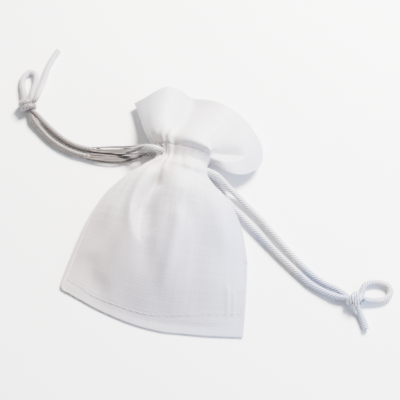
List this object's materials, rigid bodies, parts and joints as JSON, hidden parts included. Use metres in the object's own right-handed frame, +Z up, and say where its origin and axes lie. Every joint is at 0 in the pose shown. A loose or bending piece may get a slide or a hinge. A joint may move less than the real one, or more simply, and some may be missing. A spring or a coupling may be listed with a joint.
{
  "type": "drawstring gift pouch",
  "caption": "Small sheer organza gift pouch, drawn shut at the neck, lying on its back, with a flared ruffle and a knotted satin drawstring out of each side.",
  "frame": {"origin": "the middle of the flat face that the pouch lies on, under the back panel", "axes": "+Z up out of the surface it lies on, +Y from the bag's bottom edge towards the ruffle, +X to the right seen from above"},
  "size_m": [0.1602, 0.0979, 0.0165],
  "materials": {
    "organza": "satin",
    "organza_folded": "satin",
    "satin_cord": "satin",
    "sewing_thread": "matte"
  },
  "bodies": {
    "bag": {"front_panel": "organza", "back_panel": "organza", "bottom_seam": "organza_folded", "left_side_seam": "organza_folded", "right_side_seam": "organza_folded", "front_casing": "organza_folded", "back_casing": "organza_folded", "back_ruffle": "organza_folded", "seam_stitching": "sewing_thread", "lower_casing_stitching": "sewing_thread", "upper_casing_stitching": "sewing_thread", "left_cord_in_casing": "satin_cord", "right_cord_in_casing": "satin_cord"},
    "ruffle_front_leaf": {"front_ruffle": "organza_folded"},
    "left_leads": {"left_cord_leads": "satin_cord"},
    "left_drawstring": {"left_front_strand": "satin_cord", "left_back_strand": "satin_cord", "left_knot": "satin_cord", "left_knot_loop": "satin_cord", "left_cord_tail": "satin_cord"},
    "right_leads": {"right_cord_leads": "satin_cord"},
    "right_drawstring": {"right_front_strand": "satin_cord", "right_back_strand": "satin_cord", "right_knot": "satin_cord", "right_knot_loop": "satin_cord", "right_cord_tail": "satin_cord"}
  },
  "joints": [
    {"name": "left_drawstring_pull", "type": "slide", "parent": "bag", "child": "left_leads", "axis": [-1, 0, 0], "range_m": [0, 0.006]},
    {"name": "left_drawstring_swing", "type": "hinge", "parent": "left_leads", "child": "left_drawstring", "pos_m": [-0.0165, 0.02875, 0.0062], "axis": [0, 0, 1], "range_deg": [-25, 25]},
    {"name": "right_drawstring_pull", "type": "slide", "parent": "bag", "child": "right_leads", "axis": [1, 0, 0], "range_m": [0, 0.006]},
    {"name": "right_drawstring_swing", "type": "hinge", "parent": "right_leads", "child": "right_drawstring", "pos_m": [0.0065, 0.02525, 0.0062], "axis": [0, 0, 1], "range_deg": [-15, 15]},
    {"name": "front_ruffle_flare", "type": "hinge", "parent": "bag", "child": "ruffle_front_leaf", "pos_m": [-0.005, 0.0315, 0.0115], "axis": [1, 0, 0], "range_deg": [-8, 45], "stiffness_Nm_per_rad": 0.001}
  ]
}
